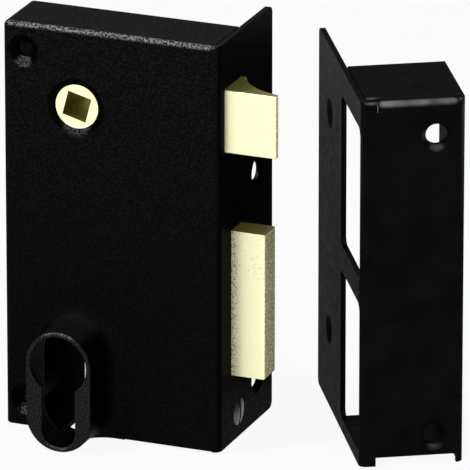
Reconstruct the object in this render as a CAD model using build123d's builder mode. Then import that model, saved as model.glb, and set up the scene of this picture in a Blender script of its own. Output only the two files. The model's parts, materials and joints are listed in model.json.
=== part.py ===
from build123d import *
import math
import os

os.makedirs("parts", exist_ok=True)

# Rim box lock and its strike box. Millimetres, +Z up, door behind at +Y, forend on the +X side.
# The origin is where the axis of the profile cylinder meets the door face of the case.

# Sheet and general fits
sheet = 1.5
back_sheet = 1.5
overrun = 2.0
slide_gap = 0.2
contact_gap = 0.3
fit_gap = 0.1
journal_gap = 0.08
rivet_gap = 0.02
touch = 0.01

# Case
head_room = 23.0
case_depth = 19.0
backset = 43.0
edge_distance = 22.0
cylinder_height = 25.0
forend_depth = 40.0
fold_radius = 2.2
edge_radius = 1.8
lower_edge_radius = 0.6
forend_corner = 2.0
seam = 0.3

# Profile cylinder that the lock takes, and the drawn boss round it
profile_radius = 8.5
profile_tail = 10.0
profile_drop = 24.5
profile_gap = 0.1
boss_wall = 1.2
boss_projection = 14.0
boss_root = 4.5
boss_lip = 0.5
flange_notch = 3.7

# Screw seats pressed or sunk in the sheet
case_hole_inset = 6.2
case_hole_drop = 8.2
case_hole = 2.3
case_dish = 4.8
case_dish_depth = 1.7
forend_hole = 2.6
forend_hole_back = 9.8
forend_hole_drop = 22.5
forend_hole_rise = 12.5
forend_sink = 4.4
sink_share = 0.9
rim_share = 0.5

# Follower, turned by a square spindle
follower_height = 72.0
spindle_square = 7.0
square_gap = 0.2
square_turn = 15.0
journal_radius = 6.4
hub_radius = 8.0
hub_recess = 0.9
hub_dish = 8.7
hub_dish_depth = 1.0
arm_radius = 18.0
arm_tip = 1.6
arm_root = 4.0
arm_thickness = 4.0
arm_back = 7.0
arm_lean = 22.0
follower_swing = 46.0
stop_pin_radius = 2.0

# Latch bolt
latch_height = 18.4
latch_setback = 4.4
latch_throw = 15.2
latch_tip = 2.0
latch_shoulder = 1.3
latch_inside = 18.0
bevel_mid_out = 7.9
bevel_mid_thick = 4.8
latch_edge = 0.4
tail_thickness = 2.5
tail_lap = 8.0
tail_band = 11.3
tail_gap_over_hub = 1.0
lug_thickness = 2.0
lug_height = 4.0
lug_play = 0.7
rivet_radius = 1.3
rivet_depth = 4.0
rivet_head = 1.9
rivet_head_height = 0.8
finger_width = 3.0
finger_depth = 4.1
finger_drop = 5.3

# Latch spring and its bracket
spring_wire = 0.8
spring_radius = 2.7
spring_turns = 12
spring_bore = 3.7
spring_bore_depth = 14.0
spring_rise = 4.2
spring_setback = 6.4
bracket_sheet = 1.5
bracket_gap = 0.75
bracket_width = 7.2
bracket_foot = 7.5
bracket_foot_height = 8.0
bracket_drop = 10.0
bracket_reach = 3.8
spigot_radius = 1.8
spigot_length = 3.0

# Lever by which the key draws the latch
lever_x = 20.0
lever_z = -14.0
lever_thickness = 2.0
lever_width = 6.0
lever_eye = 5.5
lever_clearance = 2.3
lever_overlap = 1.1
lever_post = 2.5
lever_collar = 4.0
lever_foot_z = 12.0
lever_foot_height = 3.0
lever_tab_x = 9.0
lever_tab_width = 2.5
lever_tab_back = 5.0
clip_thickness = 0.6
clip_radius = 4.4
clip_depth = 0.5
post_end = 0.7

# Deadbolt
bolt_height = 43.0
bolt_mid = 16.7
bolt_thickness = 8.0
bolt_out = 10.0
bolt_throw = 10.0
bolt_inside = 19.0
bolt_edge = 0.5
bolt_tail_low = 10.5
bolt_tail_top = 34.0
bolt_tail_left = -10.0
cam_notch_x = 1.0
cam_notch_width = 8.0
cam_notch_depth = 5.5
slot_z = 25.0
stud_x = -2.0
stud_radius = 2.5
stud_head = 4.2
stud_head_height = 1.4
tenon_radius = 2.0
bolt_rivet_shares = (0.2, 0.5, 0.8)
detent_width = 4.4
detent_depth = 2.2

# Flat spring that holds the deadbolt at either end of its throw
leaf_thickness = 0.6
leaf_width = 3.4
leaf_left = -17.5
leaf_bend = 1.2
leaf_z = 40.7
leaf_shoulder_x = -5.5
leaf_nose = 0.5
leaf_heel_x = 3.2
leaf_heel_z = 37.2
leaf_end_x = 9.0
leaf_end_z = 38.2
leaf_foot_width = 8.5
leaf_foot_height = 6.6
leaf_rivet_pitch = 4.2

# Pillars and screws that hold the back plate
pillar_radius = 3.0
pillar_drop = 6.7
pillar_in = 5.6
low_pillar_rise = 14.5
low_pillar_in = 7.0
far_pillar_in = 5.2
far_pillar_rise = 15.3
screw_radius = 1.5
screw_head = 2.75
screw_length = 7.0
screw_slot = 0.8
tube_radius = 3.3

# Screw that holds the profile cylinder
fixing_z = -17.5
fixing_back = 4.3
fixing_radius = 2.45
fixing_head = 3.9
fixing_dome = 0.6
fixing_slot = 1.0
fixing_slot_depth = 1.2
fixing_clearance = 4.5

# Strike box, standing beside the lock and turned towards it
strike_x = 82.6
strike_y = -12.5
strike_turn = 31.2
strike_height = 107.5
strike_width = 29.4
strike_box_depth = 32.0
strike_plate_depth = 68.0
strike_sheet = 1.5
strike_fold = 2.0
strike_edge_fold = 2.4
strike_corner = 2.0
window_depth = 31.2
window_start = 1.6
window_corner = 2.5
window_top_margin = 8.0
upper_window = 44.0
window_bar = 7.6
lower_window = 43.9
plate_hole_back = 50.0
plate_hole_low = 22.8
plate_hole_drop = 19.8
plate_hole = 2.3
plate_dish = 4.5
plate_dish_depth = 1.2
face_hole_x = 21.3
face_hole_low = 8.4
face_hole_drop = 10.5
face_hole = 3.0
face_dish = 4.6
face_dish_depth = 1.2
ear_width = 4.6
ear_drop = 1.8
relief_width = 0.3
relief_height = 3.4

# Places worked out from the sizes
left = -edge_distance
right = backset
top = follower_height + head_room
bottom = -cylinder_height
case_height = top - bottom
front = -case_depth
forend_rear = forend_depth - case_depth
inner_left = left + sheet
inner_right = right - sheet
inner_top = top - sheet
inner_bottom = bottom + sheet
inner_front = front + sheet
plate_front = -back_sheet
slide_back = plate_front - slide_gap
slide_front = slide_back - tail_thickness
case_hole_x = left + case_hole_inset
case_hole_z = (top - case_hole_drop, bottom + case_hole_drop)
forend_hole_z = (follower_height - forend_hole_drop, bottom + forend_hole_rise)
pillar_places = [
    (right - pillar_in, top - pillar_drop),
    (right - low_pillar_in, bottom + low_pillar_rise),
    (left + far_pillar_in, leaf_z + far_pillar_rise),
]
sink_depth = sink_share * sheet
boss_tip = front - boss_projection
profile_hole = profile_radius + profile_gap
profile_low = -profile_drop - profile_gap
profile_high = profile_hole
boss_bottom = profile_low - boss_wall


def facing(y):
    """Plane across the lock at this depth, seen from the front: X to the right, Z up."""
    return Plane.XZ.offset(-y)


def level(z):
    return Plane.XY.offset(z)


def forend_plane(x):
    """Plane along the forend: Y to the right, Z up, looking back along -X."""
    return Plane.YZ.offset(x)


def spot(plane, x, y):
    """The same plane with its origin moved to a point on it."""
    return Plane(origin=plane.from_local_coords(Vector(x, y, 0)), x_dir=plane.x_dir, z_dir=plane.z_dir)


def block(x_low, x_high, y_low, y_high, z_low, z_high, mode=Mode.ADD):
    """Rectangular block between two corners, drawn as a section and extruded."""
    with BuildSketch(level(z_low)) as section:
        with Locations(((x_low + x_high) / 2, (y_low + y_high) / 2)):
            Rectangle(x_high - x_low, y_high - y_low)
    extrude(section.sketch, amount=z_high - z_low, mode=mode)


def round_bar(plane, x, y, radius, length, mode=Mode.ADD):
    """Round bar from a plane, along its normal."""
    with BuildSketch(plane) as section:
        with Locations((x, y)):
            Circle(radius)
    extrude(section.sketch, amount=length, mode=mode)


def write(piece, name):
    piece.part.label = name
    export_step(piece.part, "parts/" + name + ".step")


def pressed_seat(plane, hole, dish, depth, wall):
    """Screw seat pressed into sheet: the plane lies on the outer face at the hole and faces out."""
    rim = rim_share * wall
    with Locations(plane.offset(-wall)):
        Cone(hole + rim, dish + rim, depth, align=(Align.CENTER, Align.CENTER, Align.MAX))
    with Locations(plane):
        Cone(hole, dish, depth, align=(Align.CENTER, Align.CENTER, Align.MAX), mode=Mode.SUBTRACT)
    round_bar(plane.offset(overrun), 0, 0, hole, -(wall + depth + 2 * overrun), Mode.SUBTRACT)


def sunk_seat(plane, hole, head, depth, wall):
    """Plain countersunk hole through sheet."""
    with Locations(plane):
        Cone(hole, head, depth, align=(Align.CENTER, Align.CENTER, Align.MAX), mode=Mode.SUBTRACT)
    round_bar(plane.offset(overrun), 0, 0, hole, -(wall + 2 * overrun), Mode.SUBTRACT)


def stadium(grow):
    """Round-ended outline of the boss, grown round the cylinder's profile."""
    with Locations((0, (profile_high + profile_low) / 2)):
        SlotOverall(
            profile_high - profile_low + 2 * grow,
            2 * (profile_hole + grow),
            rotation=90,
        )


def profile_outline():
    """Key-hole outline of the profile cylinder: a circle with a round-ended tail."""
    Circle(profile_hole)
    tail = profile_tail / 2 + profile_gap
    with Locations((0, (profile_low + tail) / 2)):
        Rectangle(2 * tail, -profile_low - tail)
    with Locations((0, profile_low + tail)):
        Circle(tail)


def drawn_boss(grow, base_y, tip_y, root_radius, floor_z):
    """Boss drawn out of the face with a flared root, cut off level where the case ends below it."""
    reach = profile_hole + grow + root_radius + touch
    with BuildPart() as form:
        with BuildSketch(facing(base_y + sheet)):
            with Locations((0, (profile_high + profile_low) / 2)):
                Rectangle(2 * reach, profile_high - profile_low + 2 * (grow + root_radius + touch))
        extrude(amount=sheet)
        with BuildSketch(facing(base_y)):
            stadium(grow)
        extrude(amount=base_y - tip_y)
        on_face = form.edges().filter_by_position(Axis.Y, base_y - touch, base_y + touch)
        root = on_face.sort_by_distance((0, base_y, (profile_high + profile_low) / 2))[:4]
        fillet(root, root_radius)
        with BuildSketch(facing(base_y + sheet)):
            with Locations((0, floor_z)):
                Rectangle(3 * reach, profile_high - profile_low, align=(Align.CENTER, Align.MAX))
            with Locations((0, (profile_high + profile_low) / 2)):
                SlotOverall(
                    profile_high - profile_low + 2 * grow,
                    2 * (profile_hole + grow),
                    rotation=90,
                    mode=Mode.SUBTRACT,
                )
        extrude(amount=base_y + sheet - tip_y, mode=Mode.SUBTRACT)
    return form.part


def coil_line(start, radius, length, turns):
    """Helix along +X as pairs of tangent arcs, two for each quarter turn, with its points."""
    steps = 4 * turns
    pitch = length / turns
    points = []
    tangents = []
    for step in range(steps + 1):
        turn = step * math.pi / 2
        points.append(
            start + Vector(length * step / steps, radius * math.cos(turn), radius * math.sin(turn))
        )
        along = Vector(
            pitch / (2 * math.pi), -radius * math.sin(turn), radius * math.cos(turn)
        )
        tangents.append(along.normalized())
    for step in range(steps):
        chord = points[step + 1] - points[step]
        both = tangents[step] + tangents[step + 1]
        spare = 4 - both.dot(both)
        lean = chord.dot(both)
        reach = (math.sqrt(lean * lean + spare * chord.dot(chord)) - lean) / spare
        leave = points[step] + tangents[step] * reach
        arrive = points[step + 1] - tangents[step + 1] * reach
        joint = (leave + arrive) * 0.5
        TangentArc(points[step], joint, tangent=tangents[step])
        TangentArc(joint, points[step + 1], tangent=arrive - leave)
    return points


# Case: face, forend, top, bottom and far side folded from one sheet, with the boss drawn in its face
fold_start = right - fold_radius
with BuildPart() as case_shell:
    block(left, fold_start, front, 0, bottom, top)
    face_edges = case_shell.faces().sort_by(Axis.Y)[0].edges()
    fillet(face_edges.filter_by(Axis.X).sort_by(Axis.Z)[-1], edge_radius)
    face_edges = case_shell.faces().sort_by(Axis.Y)[0].edges()
    fillet(face_edges.filter_by(Axis.Z).sort_by(Axis.X)[0], edge_radius)
    face_edges = case_shell.faces().sort_by(Axis.Y)[0].edges()
    fillet(face_edges.filter_by(Axis.X).sort_by(Axis.Z)[0], lower_edge_radius)
    add(drawn_boss(boss_wall, front, boss_tip, boss_root, bottom))
    tip_edges = case_shell.faces().sort_by(Axis.Y)[0].edges()
    fillet(tip_edges, boss_lip)
    block(inner_left, right, inner_front, overrun, inner_bottom, inner_top, Mode.SUBTRACT)
    add(
        drawn_boss(0, inner_front, boss_tip + sheet, boss_root + sheet, inner_bottom),
        mode=Mode.SUBTRACT,
    )
    with BuildSketch(facing(inner_front)):
        profile_outline()
    extrude(amount=boss_projection + sheet + overrun, mode=Mode.SUBTRACT)
    block(
        -flange_notch,
        flange_notch,
        inner_front,
        overrun,
        bottom - overrun,
        inner_bottom + touch,
        Mode.SUBTRACT,
    )
    for flange_z in (inner_top, bottom):
        block(fold_start - touch, inner_right - seam, inner_front, 0, flange_z, flange_z + sheet)
    with BuildSketch(level(bottom)):
        with BuildLine():
            FilletPolyline(
                (fold_start - touch, front + sheet / 2),
                (right - sheet / 2, front + sheet / 2),
                (right - sheet / 2, forend_rear),
                radius=fold_radius - sheet / 2,
            )
        trace(line_width=sheet)
    extrude(amount=case_height)
    rear_corners = case_shell.edges().filter_by(Axis.X)
    rear_corners = rear_corners.filter_by_position(Axis.Y, forend_rear - touch, forend_rear + touch)
    fillet(rear_corners, forend_corner)
    for z in case_hole_z:
        pressed_seat(spot(facing(front), case_hole_x, z), case_hole, case_dish, case_dish_depth, sheet)
    hub_seat = spot(facing(front), 0, follower_height)
    pressed_seat(hub_seat, journal_radius + journal_gap, hub_dish, hub_dish_depth, sheet)
    for z in forend_hole_z:
        forend_seat = spot(forend_plane(right), forend_hole_back, z)
        sunk_seat(forend_seat, forend_hole, forend_sink, sink_depth, sheet)
    fixing_y = -fixing_back
    sunk_seat(
        spot(forend_plane(right), fixing_y, fixing_z),
        fixing_radius + fit_gap,
        fixing_head + fit_gap,
        sink_depth,
        sheet,
    )
    latch_front = front + latch_setback
    latch_low = follower_height - latch_height / 2
    latch_high = follower_height + latch_height / 2
    bolt_front = slide_back - bolt_thickness
    bolt_low = bolt_mid - bolt_height / 2
    bolt_high = bolt_mid + bolt_height / 2
    for y_low, z_low, z_high in ((latch_front, latch_low, latch_high), (bolt_front, bolt_low, bolt_high)):
        block(
            inner_right - overrun,
            right + overrun,
            y_low - contact_gap,
            plate_front,
            z_low - contact_gap,
            z_high + contact_gap,
            Mode.SUBTRACT,
        )
write(case_shell, "case_shell")

# Back plate closes the case against the door
with BuildPart() as back_plate:
    block(
        inner_left + fit_gap,
        inner_right - fit_gap,
        plate_front,
        0,
        inner_bottom + fit_gap,
        inner_top - fit_gap,
    )
    with BuildSketch(facing(overrun)):
        profile_outline()
        tail = profile_tail / 2 + profile_gap
        with Locations((0, inner_bottom)):
            Rectangle(2 * tail, profile_tail, align=(Align.CENTER, Align.CENTER))
    extrude(amount=back_sheet + 2 * overrun, mode=Mode.SUBTRACT)
    through_plate = back_sheet + 2 * overrun
    bearing_radius = journal_radius + journal_gap
    round_bar(facing(overrun), 0, follower_height, bearing_radius, through_plate, Mode.SUBTRACT)
    for z in case_hole_z:
        round_bar(facing(overrun), case_hole_x, z, case_hole, through_plate, Mode.SUBTRACT)
    for x, z in pillar_places:
        seat = Plane(origin=(x, 0, z), x_dir=(-1, 0, 0), z_dir=(0, 1, 0))
        sunk_seat(seat, screw_radius + rivet_gap, screw_head + fit_gap, sink_share * back_sheet, back_sheet)
    bracket_x = hub_radius + bracket_gap
    bracket_z = follower_height - spring_rise - spring_bore - bracket_drop
    bracket_rivet = (bracket_x - bracket_foot / 2, bracket_z + bracket_foot_height / 2)
    leaf_foot_x = leaf_left + leaf_foot_width / 2
    leaf_foot_z = leaf_z - leaf_thickness / 2 + leaf_foot_height / 2
    plate_rivet_places = [
        bracket_rivet,
        (leaf_foot_x - leaf_rivet_pitch / 2, leaf_foot_z),
        (leaf_foot_x + leaf_rivet_pitch / 2, leaf_foot_z),
    ]
    for x, z in plate_rivet_places:
        round_bar(facing(overrun), x, z, rivet_radius + rivet_gap, through_plate, Mode.SUBTRACT)
    round_bar(facing(overrun), stud_x, slot_z, tenon_radius + rivet_gap, through_plate, Mode.SUBTRACT)
write(back_plate, "back_plate")

# Tubes that stiffen the case at its two through holes
tube_front = inner_front + case_dish_depth
with BuildPart() as mounting_tubes:
    for z in case_hole_z:
        round_bar(facing(plate_front), case_hole_x, z, tube_radius, plate_front - tube_front)
        round_bar(
            facing(plate_front + overrun),
            case_hole_x,
            z,
            case_hole,
            plate_front - tube_front + 2 * overrun,
            Mode.SUBTRACT,
        )
write(mounting_tubes, "mounting_tubes")

# Pillars between the face and the back plate, tapped for the case screws
with BuildPart() as spacer_pillars:
    for x, z in pillar_places:
        round_bar(facing(plate_front), x, z, pillar_radius, plate_front - inner_front)
        round_bar(
            facing(plate_front), x, z, screw_radius + rivet_gap, screw_length, Mode.SUBTRACT
        )
write(spacer_pillars, "spacer_pillars")

# Countersunk screws through the back plate into the pillars
with BuildPart() as case_screws:
    for x, z in pillar_places:
        head_plane = Plane(origin=(x, 0, z), x_dir=(-1, 0, 0), z_dir=(0, 1, 0)).offset(-fit_gap)
        with Locations(head_plane):
            Cone(
                screw_radius,
                screw_head,
                sink_share * back_sheet - fit_gap,
                align=(Align.CENTER, Align.CENTER, Align.MAX),
            )
        round_bar(head_plane, 0, 0, screw_radius, -screw_length)
        with BuildSketch(head_plane):
            Rectangle(2 * screw_head + overrun, screw_slot)
        extrude(amount=-screw_slot, mode=Mode.SUBTRACT)
write(case_screws, "case_screws")

# Follower: hub with two journals, a square hole for the spindle and an arm that draws the latch
hub_back = slide_back
hub_front = inner_front + hub_dish_depth + slide_gap
tip_x = arm_radius * math.sin(math.radians(arm_lean))
tip_z = follower_height + arm_radius * math.cos(math.radians(arm_lean))
with BuildPart() as follower:
    round_bar(facing(hub_back), 0, follower_height, hub_radius, hub_back - hub_front)
    round_bar(facing(-fit_gap), 0, follower_height, journal_radius, case_depth - hub_recess - fit_gap)
    with BuildSketch(facing(-arm_back)):
        with Locations((0, follower_height)):
            Circle(arm_root)
        with Locations((tip_x, tip_z)):
            Circle(arm_tip)
        make_hull()
    extrude(amount=arm_thickness)
    with BuildSketch(facing(overrun)):
        with Locations((0, follower_height)):
            Rectangle(spindle_square + square_gap, spindle_square + square_gap, rotation=-square_turn)
    extrude(amount=case_depth + 2 * overrun, mode=Mode.SUBTRACT)
write(follower, "follower")

# Pin inside the face that the arm rests against
stop_x = tip_x + arm_tip + stop_pin_radius + fit_gap
with BuildPart() as follower_stop_pin:
    stop_pin_back = fit_gap - arm_back
    round_bar(facing(stop_pin_back), stop_x, tip_z, stop_pin_radius, stop_pin_back - inner_front)
write(follower_stop_pin, "follower_stop_pin")

# Latch head: flat in front, hollow bevel behind, bored for its spring, with a finger for the lever
latch_travel = arm_radius * (
    math.sin(math.radians(arm_lean)) + math.sin(math.radians(follower_swing - arm_lean))
)
latch_end = right - latch_inside
latch_nose = right + latch_throw
spring_y = latch_front + spring_setback
spring_z = latch_low + spring_rise
tail_low = spring_z + spring_bore + slide_gap
finger_z = latch_low - finger_drop
lap_mid = latch_end + tail_lap / 2
latch_rivet_z = (
    tail_low + (latch_high - tail_low) / 4,
    latch_high - (latch_high - tail_low) / 4,
)
with BuildPart() as latch_head:
    with BuildSketch(level(latch_low)):
        with BuildLine():
            Polyline(
                (right + latch_shoulder, slide_back),
                (latch_end, slide_back),
                (latch_end, latch_front),
                (latch_nose, latch_front),
                (latch_nose, latch_front + latch_tip),
            )
            ThreePointArc(
                (latch_nose, latch_front + latch_tip),
                (right + bevel_mid_out, latch_front + bevel_mid_thick),
                (right + latch_shoulder, slide_back),
            )
        make_face()
    extrude(amount=latch_height)
    nose_edges = latch_head.edges().filter_by(Axis.Z)
    nose_edges = nose_edges.filter_by_position(Axis.X, latch_nose - touch, latch_nose)
    fillet(nose_edges, latch_edge)
    face_edges = latch_head.faces().sort_by(Axis.Y)[0].edges().filter_by(Axis.X)
    fillet(face_edges, latch_edge)
    block(
        latch_end,
        latch_end + finger_width,
        latch_front,
        latch_front + finger_depth,
        finger_z,
        latch_low + latch_edge + touch,
    )
    block(
        latch_end - touch,
        latch_end + tail_lap,
        slide_front,
        slide_back + touch,
        tail_low,
        latch_high + touch,
        Mode.SUBTRACT,
    )
    bore_mouth = forend_plane(latch_end - touch)
    round_bar(bore_mouth, spring_y, spring_z, spring_bore, spring_bore_depth, Mode.SUBTRACT)
    for z in latch_rivet_z:
        round_bar(facing(slide_front), lap_mid, z, rivet_radius + rivet_gap, rivet_depth, Mode.SUBTRACT)
write(latch_head, "latch_head")

# Latch tail: passes over the hub and carries the lug that the arm pushes
lug_right = tip_x - arm_tip - lug_play
lug_left = lug_right - lug_thickness
band_low = follower_height + hub_radius + tail_gap_over_hub
band_high = band_low + tail_band
with BuildPart() as latch_tail:
    with BuildSketch(facing(slide_back)):
        with BuildLine():
            Polyline(
                (lug_left, band_low),
                (lug_left, band_high),
                (latch_end + tail_lap, band_high),
                (latch_end + tail_lap, tail_low),
                (latch_end, tail_low),
                (latch_end, band_low),
                close=True,
            )
        make_face()
    extrude(amount=tail_thickness)
    block(
        lug_left,
        lug_right,
        -arm_back - arm_thickness,
        slide_front + touch,
        band_high - lug_height,
        band_high,
    )
    for z in latch_rivet_z:
        round_bar(facing(slide_back), lap_mid, z, rivet_radius + rivet_gap, tail_thickness, Mode.SUBTRACT)
write(latch_tail, "latch_tail")

with BuildPart() as latch_rivets:
    for z in latch_rivet_z:
        round_bar(facing(slide_back), lap_mid, z, rivet_radius, tail_thickness + rivet_depth)
write(latch_rivets, "latch_rivets")

# Bracket on the back plate that the latch spring pushes against
bracket_right = bracket_x + bracket_sheet
bracket_front = spring_y - bracket_reach
bracket_top = spring_z + bracket_width / 2
with BuildPart() as spring_bracket:
    block(bracket_x, bracket_right, bracket_front, plate_front, bracket_z, bracket_top)
    block(
        bracket_x - bracket_foot,
        bracket_right,
        plate_front - bracket_sheet,
        plate_front,
        bracket_z,
        bracket_z + bracket_foot_height,
    )
    bend = spring_bracket.edges().filter_by(Axis.Z)
    bend = bend.filter_by_position(Axis.Y, plate_front - touch, plate_front)
    fillet(bend.sort_by(Axis.X)[-1], bracket_sheet - touch)
    round_bar(forend_plane(bracket_right), spring_y, spring_z, spigot_radius, spigot_length)
    x, z = bracket_rivet
    round_bar(facing(plate_front), x, z, rivet_radius + rivet_gap, bracket_sheet, Mode.SUBTRACT)
write(spring_bracket, "spring_bracket")

# Latch spring, one unbroken coil between the bracket and the bottom of the bore
coil_start = bracket_right + spring_wire / 2 + fit_gap
coil_end = latch_end + spring_bore_depth - spring_wire / 2 - fit_gap
with BuildPart() as latch_spring:
    with BuildLine() as coil:
        coil_points = coil_line(
            Vector(coil_start, spring_y, spring_z), spring_radius, coil_end - coil_start, spring_turns
        )
    with BuildSketch(coil.line ^ 0):
        Circle(spring_wire / 2)
    sweep(path=coil.line)
write(latch_spring, "latch_spring")
least_gap = min(
    (coil_points[i] - coil_points[i + 4]).length - spring_wire for i in range(len(coil_points) - 4)
)
print("latch spring: least gap between turns", round(least_gap, 2), "mm")

# Lever: the key's cam pushes its foot, and its head draws the finger of the latch
lever_back = bolt_front - lever_clearance
lever_front = lever_back - lever_thickness
lever_top = finger_z + lever_overlap
lever_head_x = latch_end + finger_width + contact_gap + lever_width / 2
lever_reach = math.hypot(lever_head_x - lever_x, lever_top - lever_z)
lever_lean = math.degrees(math.asin((lever_head_x - lever_x) / lever_reach))
lever_swing = lever_lean + math.degrees(
    math.asin(latch_travel / lever_reach - math.sin(math.radians(lever_lean)))
)
with BuildPart() as latch_lever:
    with BuildSketch(facing(lever_back)):
        with BuildLine():
            Line((lever_x, lever_z), (lever_head_x, lever_top))
        trace(line_width=lever_width)
        with Locations((lever_x, lever_z)):
            Circle(lever_eye)
        with Locations((lever_head_x, lever_top)):
            Circle(lever_width / 2)
        foot_end_x = lever_x + (lever_head_x - lever_x) * (lever_foot_z - lever_z) / (lever_top - lever_z)
        with Locations(((lever_tab_x + foot_end_x) / 2, lever_foot_z)):
            Rectangle(foot_end_x - lever_tab_x, lever_foot_height)
        with Locations((lever_x, lever_z)):
            Circle(lever_post + journal_gap, mode=Mode.SUBTRACT)
    extrude(amount=lever_thickness)
    block(
        lever_tab_x,
        lever_tab_x + lever_tab_width,
        lever_back - touch,
        -lever_tab_back,
        lever_foot_z - lever_foot_height / 2,
        lever_foot_z + lever_foot_height / 2,
    )
write(latch_lever, "latch_lever")

# Post on the inside of the face that the lever turns on, and the clip that keeps it there
groove_front = lever_back + contact_gap
groove_back = groove_front + clip_thickness + fit_gap
post_back = groove_back + post_end
with BuildPart() as lever_pivot:
    round_bar(facing(post_back), lever_x, lever_z, lever_post, post_back - inner_front)
    collar_back = lever_front - slide_gap
    round_bar(facing(collar_back), lever_x, lever_z, lever_collar, collar_back - inner_front)
    with BuildSketch(facing(groove_back)):
        with Locations((lever_x, lever_z)):
            Circle(lever_post)
            Circle(lever_post - clip_depth, mode=Mode.SUBTRACT)
    extrude(amount=groove_back - groove_front, mode=Mode.SUBTRACT)
write(lever_pivot, "lever_pivot")

with BuildPart() as lever_clip:
    with BuildSketch(facing(groove_back - fit_gap / 2)):
        with Locations((lever_x, lever_z)):
            Circle(clip_radius)
            Circle(lever_post - clip_depth + rivet_gap, mode=Mode.SUBTRACT)
            Rectangle(
                2 * (lever_post - clip_depth),
                clip_radius + overrun,
                align=(Align.CENTER, Align.MAX),
                mode=Mode.SUBTRACT,
            )
    extrude(amount=clip_thickness)
write(lever_clip, "lever_clip")

# Deadbolt head, thrown by one turn of the key
bolt_end = right - bolt_inside
bolt_nose = right + bolt_out
bolt_lap = bolt_end + tail_lap
bolt_rivet_z = [
    bolt_tail_low + (bolt_tail_top - bolt_tail_low) * place_share for place_share in bolt_rivet_shares
]
with BuildPart() as deadbolt_head:
    block(bolt_end, bolt_nose, bolt_front, slide_back, bolt_low, bolt_high)
    end_edges = deadbolt_head.faces().sort_by(Axis.X)[-1].edges()
    fillet(end_edges, bolt_edge)
    block(
        bolt_end - touch,
        bolt_lap,
        slide_front,
        slide_back + touch,
        bolt_tail_low,
        bolt_tail_top,
        Mode.SUBTRACT,
    )
    bolt_lap_mid = (bolt_end + bolt_lap) / 2
    for z in bolt_rivet_z:
        round_bar(
            facing(slide_front), bolt_lap_mid, z, rivet_radius + rivet_gap, rivet_depth, Mode.SUBTRACT
        )
write(deadbolt_head, "deadbolt_head")

# Deadbolt tail: slides on the guide stud, with a notch for the cam below and two for the spring above
slot_start = stud_x - stud_radius - contact_gap
slot_end = stud_x + bolt_throw + stud_radius + contact_gap
with BuildPart() as deadbolt_tail:
    with BuildSketch(facing(slide_back)):
        with BuildLine():
            Polyline(
                (bolt_tail_left, bolt_tail_low),
                (cam_notch_x, bolt_tail_low),
                (cam_notch_x, bolt_tail_low + cam_notch_depth),
                (cam_notch_x + cam_notch_width, bolt_tail_low + cam_notch_depth),
                (cam_notch_x + cam_notch_width, bolt_tail_low),
                (bolt_lap, bolt_tail_low),
                (bolt_lap, bolt_tail_top),
                (bolt_throw + detent_width / 2, bolt_tail_top),
                (bolt_throw, bolt_tail_top - detent_depth),
                (bolt_throw - detent_width / 2, bolt_tail_top),
                (detent_width / 2, bolt_tail_top),
                (0, bolt_tail_top - detent_depth),
                (-detent_width / 2, bolt_tail_top),
                (bolt_tail_left, bolt_tail_top),
                close=True,
            )
        make_face()
        with Locations(((slot_start + slot_end) / 2, slot_z)):
            SlotOverall(slot_end - slot_start, 2 * (stud_radius + fit_gap), mode=Mode.SUBTRACT)
    extrude(amount=tail_thickness)
    for z in bolt_rivet_z:
        round_bar(
            facing(slide_back), bolt_lap_mid, z, rivet_radius + rivet_gap, tail_thickness, Mode.SUBTRACT
        )
write(deadbolt_tail, "deadbolt_tail")

with BuildPart() as deadbolt_rivets:
    for z in bolt_rivet_z:
        round_bar(facing(slide_back), bolt_lap_mid, z, rivet_radius, tail_thickness + rivet_depth)
write(deadbolt_rivets, "deadbolt_rivets")

# Stud riveted in the back plate that guides the deadbolt's tail
stud_shoulder = slide_front - contact_gap
with BuildPart() as bolt_guide_stud:
    round_bar(facing(0), stud_x, slot_z, tenon_radius, back_sheet)
    round_bar(facing(plate_front), stud_x, slot_z, stud_radius, plate_front - stud_shoulder)
    round_bar(facing(stud_shoulder), stud_x, slot_z, stud_head, stud_head_height)
write(bolt_guide_stud, "bolt_guide_stud")

# Flat spring on the back plate whose nose drops into the tail's notches
leaf_back = slide_back - slide_gap
nose_z = bolt_tail_top - detent_depth + leaf_nose + leaf_thickness
with BuildPart() as bolt_spring:
    with BuildSketch(facing(leaf_back)):
        with BuildLine():
            FilletPolyline(
                (leaf_left, leaf_z),
                (leaf_shoulder_x, leaf_z),
                (0, nose_z),
                (leaf_heel_x, leaf_heel_z),
                (leaf_end_x, leaf_end_z),
                radius=leaf_bend,
            )
        trace(line_width=leaf_thickness)
    extrude(amount=leaf_width)
    block(
        leaf_left,
        leaf_left + leaf_foot_width,
        plate_front - leaf_thickness,
        plate_front,
        leaf_z - leaf_thickness / 2,
        leaf_z - leaf_thickness / 2 + leaf_foot_height,
    )
    for x, z in plate_rivet_places[1:]:
        round_bar(facing(plate_front), x, z, rivet_radius + rivet_gap, leaf_thickness, Mode.SUBTRACT)
write(bolt_spring, "bolt_spring")

# Rivets that hold the bracket and the flat spring to the back plate
with BuildPart() as plate_rivets:
    for x, z in plate_rivet_places:
        held = bracket_sheet if (x, z) == bracket_rivet else leaf_thickness
        head_plane = facing(plate_front - held)
        round_bar(facing(0), x, z, rivet_radius, back_sheet + held)
        round_bar(head_plane, x, z, rivet_head, rivet_head_height)
write(plate_rivets, "plate_rivets")

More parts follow.
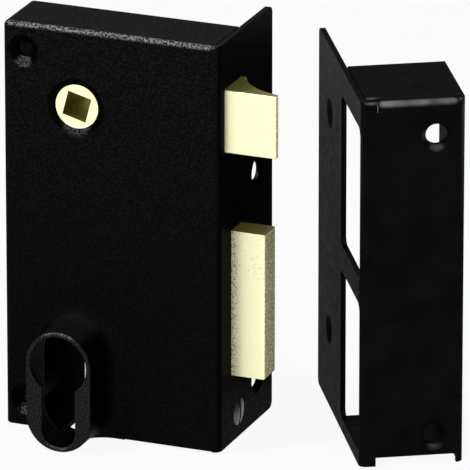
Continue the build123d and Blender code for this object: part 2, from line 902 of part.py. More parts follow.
# Slotted screw in the forend that holds the profile cylinder, stopping short of its seat
fixing_end = profile_tail / 2 + fixing_clearance
with BuildPart() as cylinder_screw:
    with BuildSketch(Plane(origin=(0, fixing_y, fixing_z))):
        with BuildLine():
            Polyline(
                (right + fixing_dome, 0),
                (fixing_end, 0),
                (fixing_end, fixing_radius),
                (right - sink_depth, fixing_radius),
                (right, fixing_head),
            )
            dome_radius = (fixing_head**2 + fixing_dome**2) / (2 * fixing_dome)
            half = math.asin(fixing_head / dome_radius) / 2
            ThreePointArc(
                (right, fixing_head),
                (
                    right + fixing_dome - dome_radius * (1 - math.cos(half)),
                    dome_radius * math.sin(half),
                ),
                (right + fixing_dome, 0),
            )
        make_face()
    revolve(axis=Axis((0, fixing_y, fixing_z), (1, 0, 0)))
    block(
        right + fixing_dome - fixing_slot_depth,
        right + fixing_dome + overrun,
        fixing_y - fixing_slot / 2,
        fixing_y + fixing_slot / 2,
        fixing_z - fixing_head - overrun,
        fixing_z + fixing_head + overrun,
        Mode.SUBTRACT,
    )
write(cylinder_screw, "cylinder_screw")

# Strike box: plate, face and far side bent from one sheet, with flanges folded in above and below
turn = math.radians(strike_turn)
strike_frame = Plane(
    origin=(strike_x, strike_y, boss_bottom), x_dir=(math.cos(turn), math.sin(turn), 0), z_dir=(0, 0, 1)
)
strike_face = Plane(origin=strike_frame.origin, x_dir=strike_frame.x_dir, z_dir=-strike_frame.y_dir)
strike_side = Plane(origin=strike_frame.origin, x_dir=-strike_frame.y_dir, z_dir=-strike_frame.x_dir)
half_sheet = strike_sheet / 2


def strike_block(x_low, x_high, y_low, y_high, z_low, z_high, mode=Mode.ADD):
    """Rectangular block in the strike's own frame."""
    with BuildSketch(strike_frame.offset(z_low)) as section:
        with Locations(((x_low + x_high) / 2, (y_low + y_high) / 2)):
            Rectangle(x_high - x_low, y_high - y_low)
    extrude(section.sketch, amount=z_high - z_low, mode=mode)


face_left = ear_width + relief_width
face_right = strike_width - strike_fold
bend_start = strike_height - relief_height
with BuildPart() as strike_box:
    strike_block(face_left, face_right, 0, strike_box_depth, ear_drop, strike_height)
    for edge_z in (strike_height, ear_drop):
        rim = strike_box.edges().filter_by(
            lambda edge: abs(strike_frame.to_local_coords(edge.center()).Z - edge_z) < touch
            and abs(strike_frame.to_local_coords(edge.center()).Y) < touch
        )
        fillet(rim, strike_edge_fold)
    strike_block(
        face_left - overrun,
        face_right + overrun,
        strike_sheet,
        strike_box_depth + overrun,
        ear_drop + strike_sheet,
        strike_height - strike_sheet,
        Mode.SUBTRACT,
    )
    for flange_z in (strike_height - strike_sheet, ear_drop):
        strike_block(
            strike_sheet + seam,
            strike_width - strike_sheet + touch,
            strike_sheet + strike_edge_fold,
            strike_box_depth,
            flange_z,
            flange_z + strike_sheet,
        )
    strike_block(ear_width - touch, face_left + touch, 0, strike_sheet, relief_height, bend_start)
    with BuildSketch(strike_frame):
        with BuildLine():
            FilletPolyline(
                (half_sheet, strike_plate_depth),
                (half_sheet, half_sheet),
                (ear_width, half_sheet),
                radius=strike_fold - half_sheet,
            )
        trace(line_width=strike_sheet)
        with BuildLine():
            FilletPolyline(
                (face_right - touch, half_sheet),
                (strike_width - half_sheet, half_sheet),
                (strike_width - half_sheet, strike_box_depth),
                radius=strike_fold - half_sheet,
            )
        trace(line_width=strike_sheet)
    extrude(amount=strike_height)
    window_top = strike_height - window_top_margin
    window_spans = (
        (window_top - upper_window, window_top),
        (window_top - upper_window - window_bar - lower_window, window_top - upper_window - window_bar),
    )
    with BuildSketch(strike_side.offset(overrun)):
        for span_low, span_high in window_spans:
            with Locations((-(window_start + window_depth) / 2, (span_low + span_high) / 2)):
                RectangleRounded(window_depth - window_start, span_high - span_low, window_corner)
    extrude(amount=-(strike_sheet + 2 * overrun), mode=Mode.SUBTRACT)
    for z in (plate_hole_low, strike_height - plate_hole_drop):
        pressed_seat(
            spot(strike_side, -plate_hole_back, z), plate_hole, plate_dish, plate_dish_depth, strike_sheet
        )
    for z in (face_hole_low, strike_height - face_hole_drop):
        pressed_seat(
            spot(strike_face, face_hole_x, z), face_hole, face_dish, face_dish_depth, strike_sheet
        )
    plate_corners = strike_box.edges().filter_by(
        lambda edge: abs(strike_frame.to_local_coords(edge.center()).Y - strike_plate_depth) < touch
        and abs(edge.length - strike_sheet) < touch
    )
    fillet(plate_corners, strike_corner)
write(strike_box, "strike_box")

print("latch travel", round(latch_travel, 2), "mm for", follower_swing, "degrees of the follower")
print("lever swing", round(lever_swing, 3), "degrees")
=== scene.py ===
import json
import math
import bpy
from mathutils import Matrix, Vector


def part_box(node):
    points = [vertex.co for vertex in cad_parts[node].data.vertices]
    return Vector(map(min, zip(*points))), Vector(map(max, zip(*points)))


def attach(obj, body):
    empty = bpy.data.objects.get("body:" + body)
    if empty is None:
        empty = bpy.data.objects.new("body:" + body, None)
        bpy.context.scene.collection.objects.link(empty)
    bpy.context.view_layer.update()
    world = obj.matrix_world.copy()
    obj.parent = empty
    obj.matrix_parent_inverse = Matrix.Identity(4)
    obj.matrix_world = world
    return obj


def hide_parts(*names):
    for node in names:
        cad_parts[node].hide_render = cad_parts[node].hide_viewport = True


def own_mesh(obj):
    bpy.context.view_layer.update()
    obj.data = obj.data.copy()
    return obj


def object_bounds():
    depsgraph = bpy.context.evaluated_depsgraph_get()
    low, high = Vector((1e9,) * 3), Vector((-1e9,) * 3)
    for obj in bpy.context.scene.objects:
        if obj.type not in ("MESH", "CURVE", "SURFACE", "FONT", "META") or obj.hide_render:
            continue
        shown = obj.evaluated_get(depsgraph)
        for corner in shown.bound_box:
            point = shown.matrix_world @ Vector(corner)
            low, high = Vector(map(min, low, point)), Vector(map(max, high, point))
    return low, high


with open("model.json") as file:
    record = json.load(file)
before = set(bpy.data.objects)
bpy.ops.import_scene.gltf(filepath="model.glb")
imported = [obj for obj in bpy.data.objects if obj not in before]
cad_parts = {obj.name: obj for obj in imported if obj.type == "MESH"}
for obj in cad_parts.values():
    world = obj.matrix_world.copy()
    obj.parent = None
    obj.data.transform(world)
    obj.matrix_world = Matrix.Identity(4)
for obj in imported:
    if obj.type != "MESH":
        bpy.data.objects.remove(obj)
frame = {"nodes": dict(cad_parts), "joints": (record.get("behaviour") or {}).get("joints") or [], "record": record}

cad_box = [list(corner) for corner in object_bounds()]
nodes = frame["nodes"]
joints = {joint["name"]: joint for joint in frame["joints"]}
mounts = {mount["name"]: mount for mount in frame["record"]["mounts"]}
scene = bpy.context.scene
scene.view_settings.view_transform = "Standard"

MM = 0.001
FLOOR_Z = cad_box[0][2]

# Places on the lock in millimetres, which the patterns follow
case_low, case_high = [Vector(corner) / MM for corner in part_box("case_shell")]
plate_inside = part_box("back_plate")[0][1] / MM
strike_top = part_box("strike_box")[1][2] / MM
deadbolt_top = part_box("deadbolt_head")[1][2] / MM
boss_tip = case_low.y
boss_bore = mounts["cylinder_seat"]["dims"]["r_mm"]
boss_tail = -16.0
follower_z = joints["follower_turn"]["pos_m"][2] / MM
follower_dish = 8.5
hole_x = mounts["case_holes"]["pos_m"][0] / MM
hole_middle = mounts["case_holes"]["pos_m"][2] / MM
hole_apart = mounts["case_holes"]["dims"]["spacing_y_mm"] / 2
hole_dish = 4.6
strike_forward = Vector(mounts["strike_face_holes"]["axis"])
strike_outward = Vector((-strike_forward.y, strike_forward.x, 0.0))
upward = Vector((0.0, 0.0, 1.0))


def colour(hex_text):
    """Linear colour of an sRGB hex value."""
    parts = [int(hex_text[i:i + 2], 16) / 255 for i in (1, 3, 5)]
    return tuple(c / 12.92 if c <= 0.04045 else ((c + 0.055) / 1.055) ** 2.4 for c in parts) + (1.0,)


def join(tree, node, links):
    """Links into a node's sockets, by name or number, from other sockets or the first one of a node."""
    for socket, source in dict(links).items():
        tree.links.new(getattr(source, "outputs", (source,))[0], node.inputs[socket])


def add(tree, kind, links=(), values=(), **settings):
    """A node with its settings, its socket values by name or number, and links into its sockets."""
    node = tree.nodes.new(kind)
    for name, value in settings.items():
        setattr(node, name, value)
    for socket, value in dict(values).items():
        node.inputs[socket].default_value = value
    join(tree, node, links)
    return node


def start(name):
    """A new material with its tree, its Principled shader and the place on the piece in millimetres."""
    material = bpy.data.materials.new(name)
    material.use_nodes = True
    tree = material.node_tree
    place = add(tree, "ShaderNodeTexCoord")
    # Object coordinates come in metres
    per_mm = 1 / MM
    mm = add(
        tree, "ShaderNodeMapping", {0: place.outputs["Object"]}, {"Scale": (per_mm, per_mm, per_mm)}
    )
    return material, tree, tree.nodes["Principled BSDF"], mm


def facing_share(tree, axis):
    """1 on faces that look along the axis either way, 0 on the others."""
    flat = add(tree, "ShaderNodeNewGeometry")
    parts = add(tree, "ShaderNodeSeparateXYZ", {0: flat.outputs["True Normal"]})
    size = add(tree, "ShaderNodeMath", {0: parts.outputs[axis]}, operation="ABSOLUTE")
    return add(tree, "ShaderNodeMapRange", {"Value": size}, {"From Min": 0.55, "From Max": 0.8})


def leaning(tree, normal, direction, low, high):
    """1 where the surface looks along the direction, falling to 0 as it turns away."""
    turn = add(tree, "ShaderNodeVectorMath", {0: normal}, {1: direction}, operation="DOT_PRODUCT")
    return add(
        tree, "ShaderNodeMapRange", {"Value": turn.outputs["Value"]}, {"From Min": low, "From Max": high}
    )


def round_spot(tree, mm, x, z, radius):
    """1 within radius of a place on the front, 0 beyond."""
    parts = add(tree, "ShaderNodeSeparateXYZ", {0: mm})
    flat = add(tree, "ShaderNodeCombineXYZ", {0: parts.outputs[0], 2: parts.outputs[2]})
    reach = add(tree, "ShaderNodeVectorMath", {0: flat}, {1: (x, 0.0, z)}, operation="DISTANCE")
    edge = {"From Min": radius - 0.3, "From Max": radius + 0.1, "To Min": 1.0, "To Max": 0.0}
    return add(tree, "ShaderNodeMapRange", {"Value": reach.outputs["Value"]}, edge)


def inside_boss(tree, mm):
    """1 inside the keyhole boss and the case behind it."""
    parts = add(tree, "ShaderNodeSeparateXYZ", {0: mm})
    # The boss's own axis: a line from the cylinder's centre down to the middle of its tail
    low = add(tree, "ShaderNodeClamp", {0: parts.outputs[2]}, {"Min": boss_tail, "Max": 0.0})
    axis = add(tree, "ShaderNodeCombineXYZ", {2: low})
    flat = add(tree, "ShaderNodeCombineXYZ", {0: parts.outputs[0], 2: parts.outputs[2]})
    reach = add(tree, "ShaderNodeVectorMath", {0: flat, 1: axis}, operation="DISTANCE")
    bore_wall = {"From Min": boss_bore + 0.15, "From Max": boss_bore + 0.35, "To Min": 1.0, "To Max": 0.0}
    near = add(tree, "ShaderNodeMapRange", {"Value": reach.outputs["Value"]}, bore_wall)
    past_rim = {"From Min": boss_tip + 0.4, "From Max": boss_tip + 0.8}
    behind = add(tree, "ShaderNodeMapRange", {"Value": parts.outputs[1]}, past_rim)
    return add(tree, "ShaderNodeMath", {0: near, 1: behind}, operation="MULTIPLY")


def wrinkled_height(tree, mm, lumps):
    """The enamel's wrinkles, as cells with bent edges, and their height when the lumps break them up."""
    cell_width = 1.3
    bends_per_mm = 0.7
    bend = add(tree, "ShaderNodeTexNoise", {"Vector": mm}, {"Scale": bends_per_mm})
    bent = add(tree, "ShaderNodeVectorMath", {0: bend.outputs["Color"], 1: mm}, operation="ADD")
    cells = add(
        tree,
        "ShaderNodeTexVoronoi",
        {"Vector": bent},
        {"Scale": 1 / cell_width},
        feature="DISTANCE_TO_EDGE",
    )
    wrinkle = add(tree, "ShaderNodeMapRange", {"Value": cells}, {"From Max": 0.3})
    height = add(tree, "ShaderNodeMath", {0: wrinkle, 1: lumps}, operation="MULTIPLY")
    return wrinkle, height


def dished_seats(tree, mm):
    """1 in the dishes of the two fixing holes and round the hub."""
    dishes = round_spot(tree, mm, 0.0, follower_z, follower_dish)
    for z in (hole_middle + hole_apart, hole_middle - hole_apart):
        spot = round_spot(tree, mm, hole_x, z, hole_dish)
        dishes = add(tree, "ShaderNodeMath", {0: dishes, 1: spot}, operation="MAXIMUM")
    return dishes


def crackle_enamel():
    """Stoving enamel, sprayed thick and baked so that it shrinks: black leathery wrinkles with paler
    crests, a painted grainy glint along the top fold and the dishes, and painted shade inside the boss."""
    material, tree, shader, mm = start("crackle_enamel")
    lump_width = 0.45
    grain_width = 0.5
    fold_radius = 2.0
    wrinkle_depth = 0.2
    stretched = add(tree, "ShaderNodeMapping", {0: mm}, {"Scale": (0.6, 1, 1)})
    lumps = add(tree, "ShaderNodeTexNoise", {"Vector": stretched}, {"Scale": 1 / lump_width})
    front = facing_share(tree, 1)
    wrinkle, height = wrinkled_height(tree, mm, lumps)
    height = add(tree, "ShaderNodeMath", {0: height, 1: front}, operation="MULTIPLY")
    relief = add(
        tree, "ShaderNodeBump", {"Height": height}, {"Strength": 0.6, "Distance": wrinkle_depth * MM}
    )

    # The crests are paler towards the top of the front
    places = add(tree, "ShaderNodeSeparateXYZ", {0: mm})
    top_ramp = {"From Min": 20.0, "From Max": case_high.z, "To Min": 0.35}
    paler_to_top = add(tree, "ShaderNodeMapRange", {"Value": places.outputs[2]}, top_ramp)
    crests = add(tree, "ShaderNodeMapRange", {"Value": lumps}, {"From Min": 0.45, "From Max": 0.7})
    crests = add(tree, "ShaderNodeMath", {0: crests, 1: front}, operation="MULTIPLY")
    crests = add(tree, "ShaderNodeMath", {0: crests, 1: paler_to_top}, operation="MULTIPLY")
    blacks = {6: colour("#070707"), 7: colour("#181818")}
    body = add(tree, "ShaderNodeMix", {0: crests}, blacks, data_type="RGBA").outputs[2]

    # The top is sprayed smooth and a little paler; the rolled forend is painted near-black, a painted shade that
    # keeps it dark under the lamps
    for axis, tint in ((2, "#121212"), (0, "#020202")):
        smooth_and_shade = {0: facing_share(tree, axis), 6: body}
        body = add(tree, "ShaderNodeMix", smooth_and_shade, {7: colour(tint)}, data_type="RGBA").outputs[2]

    # The rim at the boss's tip is painted paler and grainier: a painted highlight with grain
    specks = add(tree, "ShaderNodeTexNoise", {"Vector": mm}, {"Scale": 1 / grain_width})
    grain = add(
        tree, "ShaderNodeMapRange", {"Value": specks}, {"From Min": 0.44, "From Max": 0.58, "To Min": 0.05}
    )
    rim = {"From Min": boss_tip + 1.0, "From Max": boss_tip + 0.4}
    tip = add(tree, "ShaderNodeMapRange", {"Value": places.outputs[1]}, rim)
    greys = {6: colour("#101010"), 7: colour("#262626")}
    lit_rim_grain = add(tree, "ShaderNodeMix", {0: grain}, greys, data_type="RGBA").outputs[2]
    painted_rim_light = add(tree, "ShaderNodeMath", {0: tip, 1: front}, operation="MULTIPLY")
    body = add(tree, "ShaderNodeMix", {0: painted_rim_light, 6: body, 7: lit_rim_grain}, data_type="RGBA").outputs[2]

    # The dishes are painted near-black, a painted shade in the hollows
    dishes = dished_seats(tree, mm)
    body = add(
        tree, "ShaderNodeMix", {0: dishes, 6: body}, {7: colour("#020202")}, data_type="RGBA"
    ).outputs[2]

    # A painted glint, grainy and pale, on the top fold, the dishes and the boss's rim; the boss's wide soft root
    # takes none
    edges = add(tree, "ShaderNodeBevel", values={"Radius": fold_radius * MM}, samples=8)
    painted_fold_glint = leaning(tree, edges, (upward + Vector((0, -1, 0))).normalized(), 0.88, 0.97)
    left_of_root = {"From Min": -14.0, "From Max": -14.8}
    above_root = {"From Min": 20.0, "From Max": 26.0}
    beside = add(tree, "ShaderNodeMapRange", {"Value": places.outputs[0]}, left_of_root)
    above = add(tree, "ShaderNodeMapRange", {"Value": places.outputs[2]}, above_root)
    clear = add(tree, "ShaderNodeMath", {0: beside, 1: above}, operation="MAXIMUM")
    clear = add(tree, "ShaderNodeMath", {0: tip, 1: clear}, operation="MAXIMUM")
    in_dishes = add(tree, "ShaderNodeMapRange", {"Value": dishes}, {"To Min": 1.0, "To Max": 0.35})
    painted_glint = add(tree, "ShaderNodeMath", {0: painted_fold_glint, 1: grain}, operation="MULTIPLY")
    painted_glint = add(tree, "ShaderNodeMath", {0: painted_glint, 1: clear}, operation="MULTIPLY")
    painted_glint = add(tree, "ShaderNodeMath", {0: painted_glint, 1: in_dishes}, operation="MULTIPLY")
    body = add(
        tree, "ShaderNodeMix", {0: painted_glint, 6: body}, {7: colour("#848484")}, data_type="RGBA"
    ).outputs[2]

    # Inside the boss is painted near-black, a painted shade in the hollow
    shaded_inside = {0: inside_boss(tree, mm), 6: body}
    body = add(tree, "ShaderNodeMix", shaded_inside, {7: colour("#020202")}, data_type="RGBA").outputs[2]
    gloss = add(tree, "ShaderNodeMapRange", {"Value": wrinkle}, {"To Min": 0.62, "To Max": 0.4})
    join(tree, shader, {"Base Color": body, "Roughness": gloss, "Normal": relief})
    shader.inputs["Specular IOR Level"].default_value = 0.01
    return material


def satin_enamel():
    """Sprayed satin enamel on pressed sheet: smooth deep black, a painted grey highlight along the top bend
    and down the outer one, and a painted reflection that lightens the plate towards its top."""
    material, tree, shader, mm = start("satin_enamel")
    peel_width = 2.2
    peel_depth = 0.03
    patch_width = 9.0
    bend_radius = 2.2
    peel = add(tree, "ShaderNodeTexNoise", {"Vector": mm}, {"Scale": 1 / peel_width})
    relief = add(
        tree, "ShaderNodeBump", {"Height": peel}, {"Strength": 0.25, "Distance": peel_depth * MM}
    )
    clouds = add(tree, "ShaderNodeTexNoise", {"Vector": mm}, {"Scale": 1 / patch_width})
    patches = add(
        tree, "ShaderNodeMapRange", {"Value": clouds}, {"From Min": 0.35, "From Max": 0.6, "To Min": 0.35}
    )
    blacks = {6: colour("#070707"), 7: colour("#0d0d0d")}
    body = add(tree, "ShaderNodeMix", {0: patches}, blacks, data_type="RGBA").outputs[2]

    # The plate is painted lighter towards its top: a painted reflection
    places = add(tree, "ShaderNodeSeparateXYZ", {0: mm})
    edges = add(tree, "ShaderNodeBevel", values={"Radius": bend_radius * MM}, samples=8)
    high = add(
        tree, "ShaderNodeMapRange", {"Value": places.outputs[2]}, {"From Min": 45.0, "From Max": 84.0}
    )
    greys = {6: colour("#0e0e0e"), 7: colour("#2a2a2a")}
    plate_reflection = add(tree, "ShaderNodeMix", {0: high}, greys, data_type="RGBA").outputs[2]
    plate = leaning(tree, edges, -strike_outward, 0.85, 0.97)
    body = add(tree, "ShaderNodeMix", {0: plate, 6: body, 7: plate_reflection}, data_type="RGBA").outputs[2]

    # Painted highlights: the top bend is painted pale along its length, and the outer one only near its top
    upper_bend = leaning(tree, edges, (strike_forward + upward).normalized(), 0.90, 0.985)
    at_top = {"From Min": strike_top - 5.7, "From Max": strike_top - 2.7, "To Min": 0.3}
    top = add(tree, "ShaderNodeMapRange", {"Value": places.outputs[2]}, at_top)
    painted_sheen = add(tree, "ShaderNodeMath", {0: upper_bend, 1: patches}, operation="MULTIPLY")
    painted_sheen = add(tree, "ShaderNodeMath", {0: painted_sheen, 1: top}, operation="MULTIPLY")
    body = add(
        tree, "ShaderNodeMix", {0: painted_sheen, 6: body}, {7: colour("#727272")}, data_type="RGBA"
    ).outputs[2]
    outer_bend = leaning(tree, edges, (strike_forward + strike_outward).normalized(), 0.94, 0.99)
    painted_sheen = add(tree, "ShaderNodeMath", {0: outer_bend, 1: high}, operation="MULTIPLY")
    body = add(
        tree, "ShaderNodeMix", {0: painted_sheen, 6: body}, {7: colour("#343434")}, data_type="RGBA"
    ).outputs[2]

    satin = {"From Min": 0.3, "From Max": 0.7, "To Min": 0.42, "To Max": 0.55}
    gloss = add(tree, "ShaderNodeMapRange", {"Value": peel}, satin)
    join(tree, shader, {"Base Color": body, "Roughness": gloss, "Normal": relief})
    shader.inputs["Specular IOR Level"].default_value = 0.004
    return material


def bright_brass(tree, mm):
    """Colour and streaks of pale brass milled on its broad faces, with a few shallow pits."""
    streak_width = 0.5
    pit_width = 0.5
    cluster_width = 6.0
    stretched = add(tree, "ShaderNodeMapping", {0: mm}, {"Scale": (1, 1, 0.2)})
    streaks = add(tree, "ShaderNodeTexNoise", {"Vector": stretched}, {"Scale": 1 / streak_width})
    shade = add(tree, "ShaderNodeMapRange", {"Value": streaks}, {"From Min": 0.3, "From Max": 0.7})
    yellows = {6: colour("#fffdd2"), 7: colour("#fcf9c6")}
    body = add(tree, "ShaderNodeMix", {0: shade}, yellows, data_type="RGBA").outputs[2]
    dots = add(tree, "ShaderNodeTexNoise", {"Vector": mm}, {"Scale": 1 / pit_width, "Detail": 1.0})
    pits = add(tree, "ShaderNodeMapRange", {"Value": dots}, {"From Min": 0.62, "From Max": 0.72})
    clouds = add(tree, "ShaderNodeTexNoise", {"Vector": mm}, {"Scale": 1 / cluster_width})
    sparse = add(
        tree, "ShaderNodeMapRange", {"Value": clouds}, {"From Min": 0.5, "From Max": 0.7, "To Max": 0.8}
    )
    pits = add(tree, "ShaderNodeMath", {0: pits, 1: sparse}, operation="MULTIPLY")
    body = add(
        tree, "ShaderNodeMix", {0: pits, 6: body}, {7: colour("#c4c084")}, data_type="RGBA"
    ).outputs[2]
    return body, streaks


def milled_brass():
    """Drawn brass bar, milled bright on its broad faces and left as cut on its ends: pale yellow-white
    faces with fine pits, and grainy olive ends where the saw and the tumbler left them rough."""
    material, tree, shader, mm = start("milled_brass")
    grain_width = 0.4
    speckle_width = 0.35
    streak_depth = 0.01
    body, streaks = bright_brass(tree, mm)

    # A dark speckle on the deadbolt's broad face where it leaves the forend
    places = add(tree, "ShaderNodeSeparateXYZ", {0: mm})
    out_of_forend = {"From Min": case_high.x + 2.8, "From Max": case_high.x + 0.4}
    near = add(tree, "ShaderNodeMapRange", {"Value": places.outputs[0]}, out_of_forend)
    over_deadbolt = {"From Min": deadbolt_top + 11.8, "From Max": deadbolt_top + 9.8}
    low = add(tree, "ShaderNodeMapRange", {"Value": places.outputs[2]}, over_deadbolt)
    near = add(tree, "ShaderNodeMath", {0: near, 1: low}, operation="MULTIPLY")
    dots = add(tree, "ShaderNodeTexNoise", {"Vector": mm}, {"Scale": 1 / speckle_width, "Detail": 1.0})
    speckle = add(tree, "ShaderNodeMapRange", {"Value": dots}, {"From Min": 0.56, "From Max": 0.62})
    speckle = add(tree, "ShaderNodeMath", {0: near, 1: speckle}, operation="MULTIPLY")
    body = add(
        tree, "ShaderNodeMix", {0: speckle, 6: body}, {7: colour("#4a4818")}, data_type="RGBA"
    ).outputs[2]

    # Ends grainy as sawn; the tops are painted a darker olive, a painted shade
    specks = add(tree, "ShaderNodeTexNoise", {"Vector": mm}, {"Scale": 1 / grain_width})
    grain = add(tree, "ShaderNodeMapRange", {"Value": specks}, {"From Min": 0.35, "From Max": 0.65})
    sawn = {6: colour("#8e8c40"), 7: colour("#fffdd0")}
    drawn = {6: colour("#5c5a20"), 7: colour("#908e48")}
    ends = add(tree, "ShaderNodeMix", {0: grain}, sawn, data_type="RGBA").outputs[2]
    shaded_tops = add(tree, "ShaderNodeMix", {0: grain}, drawn, data_type="RGBA").outputs[2]
    level = facing_share(tree, 2)
    sides = add(tree, "ShaderNodeMix", {0: level, 6: ends, 7: shaded_tops}, data_type="RGBA").outputs[2]
    broad = {0: facing_share(tree, 1), 6: sides, 7: body}
    body = add(tree, "ShaderNodeMix", broad, data_type="RGBA").outputs[2]

    # The rough ends and tops, and less so the milled faces, scatter light as a dull surface does
    ends_share = facing_share(tree, 0)
    dull_ends = add(tree, "ShaderNodeMapRange", {"Value": ends_share}, {"To Min": 0.6, "To Max": 0.3})
    dull_tops = add(tree, "ShaderNodeMapRange", {"Value": level}, {"To Min": 1.0, "To Max": 0.4})
    metal = add(tree, "ShaderNodeMath", {0: dull_ends, 1: dull_tops}, operation="MULTIPLY")
    milled = {"From Min": 0.3, "From Max": 0.7, "To Min": 0.3, "To Max": 0.42}
    gloss = add(tree, "ShaderNodeMapRange", {"Value": streaks}, milled)
    relief = add(
        tree, "ShaderNodeBump", {"Height": streaks}, {"Strength": 0.2, "Distance": streak_depth * MM}
    )
    join(tree, shader, {"Base Color": body, "Metallic": metal, "Roughness": gloss, "Normal": relief})
    return material


def broached_brass():
    """Turned brass hub, faced bright, with a broached square; all but its broad faces are painted dark olive, a
    painted shade inside the square.
    """
    material, tree, shader, mm = start("broached_brass")
    grain_width = 0.6
    streak_depth = 0.01
    body, streaks = bright_brass(tree, mm)
    specks = add(tree, "ShaderNodeTexNoise", {"Vector": mm}, {"Scale": 1 / grain_width})
    grain = add(tree, "ShaderNodeMapRange", {"Value": specks}, {"From Min": 0.35, "From Max": 0.65})
    # All but the broad faces are painted dark olive, a painted shade inside the square
    olives = {6: colour("#6c6a04"), 7: colour("#96940c")}
    square_shade = add(tree, "ShaderNodeMix", {0: grain}, olives, data_type="RGBA").outputs[2]
    faced = {0: facing_share(tree, 1), 6: square_shade, 7: body}
    body = add(tree, "ShaderNodeMix", faced, data_type="RGBA").outputs[2]
    turned = {"From Min": 0.3, "From Max": 0.7, "To Min": 0.45, "To Max": 0.55}
    gloss = add(tree, "ShaderNodeMapRange", {"Value": streaks}, turned)
    relief = add(
        tree, "ShaderNodeBump", {"Height": streaks}, {"Strength": 0.2, "Distance": streak_depth * MM}
    )
    join(tree, shader, {"Base Color": body, "Roughness": gloss, "Normal": relief})
    shader.inputs["Metallic"].default_value = 1.0
    return material


def zinc_plate(name, dark, light, shade_inside):
    """Zinc plating on pressed or turned steel: cool grey metal, slightly mottled by the passivation, and
    painted darker on the side that faces the works, a painted shade."""
    material, tree, shader, mm = start(name)
    bloom_width = 4.0
    line_width = 0.3
    line_depth = 0.01
    clouds = add(tree, "ShaderNodeTexNoise", {"Vector": mm}, {"Scale": 1 / bloom_width, "Detail": 4.0})
    bloom = add(tree, "ShaderNodeMapRange", {"Value": clouds}, {"From Min": 0.3, "From Max": 0.7})
    plating = {6: colour(dark), 7: colour(light)}
    body = add(tree, "ShaderNodeMix", {0: bloom}, plating, data_type="RGBA").outputs[2]
    places = add(tree, "ShaderNodeSeparateXYZ", {0: mm})
    # The inner side is painted darker, a painted shade among the works
    inner_side = {"From Min": plate_inside + 0.15, "From Max": plate_inside + 0.05}
    inner_shade = add(tree, "ShaderNodeMapRange", {"Value": places.outputs[1]}, inner_side)
    body = add(
        tree, "ShaderNodeMix", {0: inner_shade, 6: body}, {7: colour(shade_inside)}, data_type="RGBA"
    ).outputs[2]
    stretched = add(tree, "ShaderNodeMapping", {0: mm}, {"Scale": (0.15, 1, 1)})
    drawn = add(tree, "ShaderNodeTexNoise", {"Vector": stretched}, {"Scale": 1 / line_width})
    rolled = {"From Min": 0.3, "From Max": 0.7, "To Min": 0.3, "To Max": 0.45}
    gloss = add(tree, "ShaderNodeMapRange", {"Value": drawn}, rolled)
    relief = add(
        tree, "ShaderNodeBump", {"Height": drawn}, {"Strength": 0.2, "Distance": line_depth * MM}
    )
    join(tree, shader, {"Base Color": body, "Roughness": gloss, "Normal": relief})
    shader.inputs["Metallic"].default_value = 1.0
    return material


def phosphated_steel():
    """Phosphated pressed steel, dipped and oiled: dull charcoal that keeps the works dark."""
    material, tree, shader, mm = start("phosphated_steel")
    bloom_width = 1.5
    bloom_depth = 0.02
    clouds = add(tree, "ShaderNodeTexNoise", {"Vector": mm}, {"Scale": 1 / bloom_width, "Detail": 4.0})
    bloom = add(tree, "ShaderNodeMapRange", {"Value": clouds}, {"From Min": 0.3, "From Max": 0.7})
    charcoals = {6: colour("#161617"), 7: colour("#2a2a2b")}
    body = add(tree, "ShaderNodeMix", {0: bloom}, charcoals, data_type="RGBA").outputs[2]
    gloss = add(tree, "ShaderNodeMapRange", {"Value": bloom}, {"To Min": 0.6, "To Max": 0.75})
    relief = add(
        tree, "ShaderNodeBump", {"Height": bloom}, {"Strength": 0.3, "Distance": bloom_depth * MM}
    )
    join(tree, shader, {"Base Color": body, "Roughness": gloss, "Normal": relief})
    shader.inputs["Specular IOR Level"].default_value = 0.15
    return material


def spring_steel():
    """Oil-tempered spring steel, drawn or rolled: dark grey with a slight sheen along its length."""
    material, tree, shader, mm = start("spring_steel")
    line_width = 0.25
    stretched = add(tree, "ShaderNodeMapping", {0: mm}, {"Scale": (0.2, 1, 1)})
    drawn = add(tree, "ShaderNodeTexNoise", {"Vector": stretched}, {"Scale": 1 / line_width})
    shade = add(tree, "ShaderNodeMapRange", {"Value": drawn}, {"From Min": 0.3, "From Max": 0.7})
    greys = {6: colour("#4f5154"), 7: colour("#6d7073")}
    body = add(tree, "ShaderNodeMix", {0: shade}, greys, data_type="RGBA").outputs[2]
    gloss = add(tree, "ShaderNodeMapRange", {"Value": shade}, {"To Min": 0.32, "To Max": 0.42})
    join(tree, shader, {"Base Color": body, "Roughness": gloss})
    shader.inputs["Metallic"].default_value = 1.0
    return material


def dress(material, *names):
    """One material over all of each node."""
    for name in names:
        mesh = nodes[name].data
        mesh.materials.clear()
        mesh.materials.append(material)


def dress_lock():
    """Every piece in its finish."""
    dress(crackle_enamel(), "case_shell")
    dress(satin_enamel(), "strike_box")
    dress(broached_brass(), "follower")
    dress(milled_brass(), "latch_head", "latch_tail", "deadbolt_head", "deadbolt_tail")
    new_zinc = zinc_plate("zinc_plate", "#a9abad", "#c6c8c9", "#2c2c2d")
    dress(new_zinc, "back_plate", "case_screws", "plate_rivets", "latch_rivets", "deadbolt_rivets")
    dress(zinc_plate("worn_zinc", "#5e6062", "#8a8c8e", "#4e5052"), "cylinder_screw")
    phosphated = phosphated_steel()
    dress(phosphated, "mounting_tubes", "spacer_pillars", "follower_stop_pin", "spring_bracket")
    dress(phosphated, "latch_lever", "lever_pivot", "bolt_guide_stud")
    dress(spring_steel(), "latch_spring", "bolt_spring", "lever_clip")


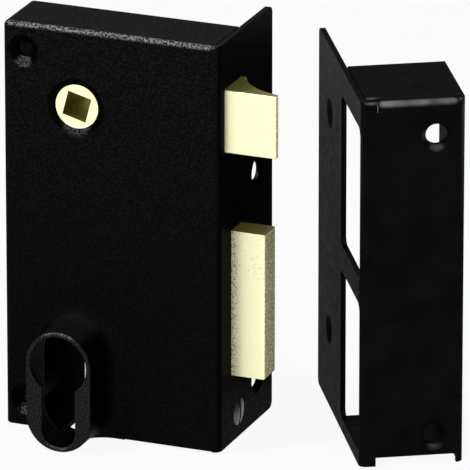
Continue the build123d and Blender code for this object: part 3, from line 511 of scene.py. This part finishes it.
def shortening_coil():
    """The latch's coil: a copy of the spring with its doubled points merged, held to the case in place of the
    spring.
    """
    merge_distance = 0.002
    bpy.ops.object.select_all(action="DESELECT")
    solid = nodes["latch_spring"]
    coil = bpy.data.objects.new("latch_coil", solid.data.copy())
    coil.matrix_world = solid.matrix_world
    scene.collection.objects.link(coil)
    bpy.context.view_layer.objects.active = coil
    coil.select_set(True)
    bpy.ops.object.mode_set(mode="EDIT")
    bpy.ops.mesh.select_all(action="SELECT")
    bpy.ops.mesh.remove_doubles(threshold=merge_distance * MM)
    bpy.ops.object.mode_set(mode="OBJECT")
    bpy.ops.object.transform_apply(location=True, rotation=True, scale=True)
    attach(coil, "case")
    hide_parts("latch_spring")
    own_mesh(coil)


def white_backdrop(tree, surface, seen_share, mirrored_share):
    """Mix towards white: so much for the camera, and so much in reflections and through glass."""
    path = add(tree, "ShaderNodeLightPath")
    rays = {0: path.outputs["Is Glossy Ray"], 1: path.outputs["Is Transmission Ray"]}
    mirrored = add(tree, "ShaderNodeMath", rays, operation="MAXIMUM")
    mirrored = add(tree, "ShaderNodeMath", {0: mirrored}, {1: mirrored_share}, operation="MULTIPLY")
    camera_rays = path.outputs["Is Camera Ray"]
    seen = add(tree, "ShaderNodeMath", {0: camera_rays}, {1: seen_share}, operation="MULTIPLY")
    share = add(tree, "ShaderNodeMath", {0: mirrored, 1: seen}, operation="MAXIMUM")
    return add(tree, "ShaderNodeMixShader", {0: share, 1: surface})


def paper_floor():
    """Pale paper floor under the lock, white to the camera but for the shadow."""
    bpy.ops.object.select_all(action="DESELECT")
    bpy.ops.mesh.primitive_plane_add(size=12.0, location=(0, 0, FLOOR_Z))
    floor = bpy.context.object
    floor.name = "floor"
    bpy.ops.object.transform_apply(location=True, rotation=True, scale=True)
    paper = bpy.data.materials.new("studio_paper")
    paper.use_nodes = True
    tree = paper.node_tree
    shader = tree.nodes["Principled BSDF"]
    shader.inputs["Base Color"].default_value = colour("#e6e6e6")
    shader.inputs["Roughness"].default_value = 0.9
    shader.inputs["Specular IOR Level"].default_value = 0.0
    glow = add(tree, "ShaderNodeEmission", values={"Color": colour("#ffffff"), "Strength": 1.0})
    mix = white_backdrop(tree, shader, 0.92, 0.9)
    join(tree, mix, {2: glow})
    join(tree, tree.nodes["Material Output"], {0: mix})
    floor.data.materials.append(paper)


def white_surroundings():
    """World that looks white and lights softly."""
    world = bpy.data.worlds.new("studio_white")
    scene.world = world
    world.use_nodes = True
    tree = world.node_tree
    tree.nodes.clear()
    soft = add(tree, "ShaderNodeBackground", values={"Color": colour("#ffffff"), "Strength": 0.4})
    white = add(tree, "ShaderNodeBackground", values={"Color": colour("#ffffff"), "Strength": 1.0})
    mix = white_backdrop(tree, soft, 1.0, 0.6)
    join(tree, mix, {2: white})
    add(tree, "ShaderNodeOutputWorld", {0: mix})


def lamps():
    """A small lamp from the upper left, a large one in front and a large one from the right."""
    middle = Vector((0.035, 0, 0.035))
    for name, place, size, power in (
        ("key_lamp", (-0.32, -0.34, 0.9), 0.08, 4.0),
        ("front_lamp", (0.08, -1.1, 0.25), 0.7, 5.6),
        ("fill_lamp", (0.9, -0.45, 0.25), 0.9, 3.4),
    ):
        lamp = bpy.data.lights.new(name, "AREA")
        lamp.energy = power
        lamp.size = size
        holder = bpy.data.objects.new(name, lamp)
        scene.collection.objects.link(holder)
        turn = (middle - Vector(place)).to_track_quat("-Z", "Y").to_matrix().to_4x4()
        holder.matrix_world = Matrix.Translation(place) @ turn


def photograph_camera():
    """Long lens from the right and above, at the photograph's angle."""
    yaw = math.radians(21.86)
    rise = math.radians(19.88)
    distance = 2.566
    sensor = 36
    picture_pixels = 470
    focal_pixels = 9080
    back = Vector((math.sin(yaw) * math.cos(rise), -math.cos(yaw) * math.cos(rise), math.sin(rise)))
    aim = Vector((31.38, 21.83, 24.84)) * MM
    camera = bpy.data.cameras.new("camera")
    camera.sensor_width = sensor
    camera.lens = sensor * focal_pixels / picture_pixels
    camera.clip_end = 20
    holder = bpy.data.objects.new("camera", camera)
    scene.collection.objects.link(holder)
    turn = (-back).to_track_quat("-Z", "Y").to_matrix().to_4x4()
    holder.matrix_world = Matrix.Translation(aim + back * distance) @ turn
    scene.camera = holder


dress_lock()
shortening_coil()
paper_floor()
white_surroundings()
lamps()
photograph_camera()
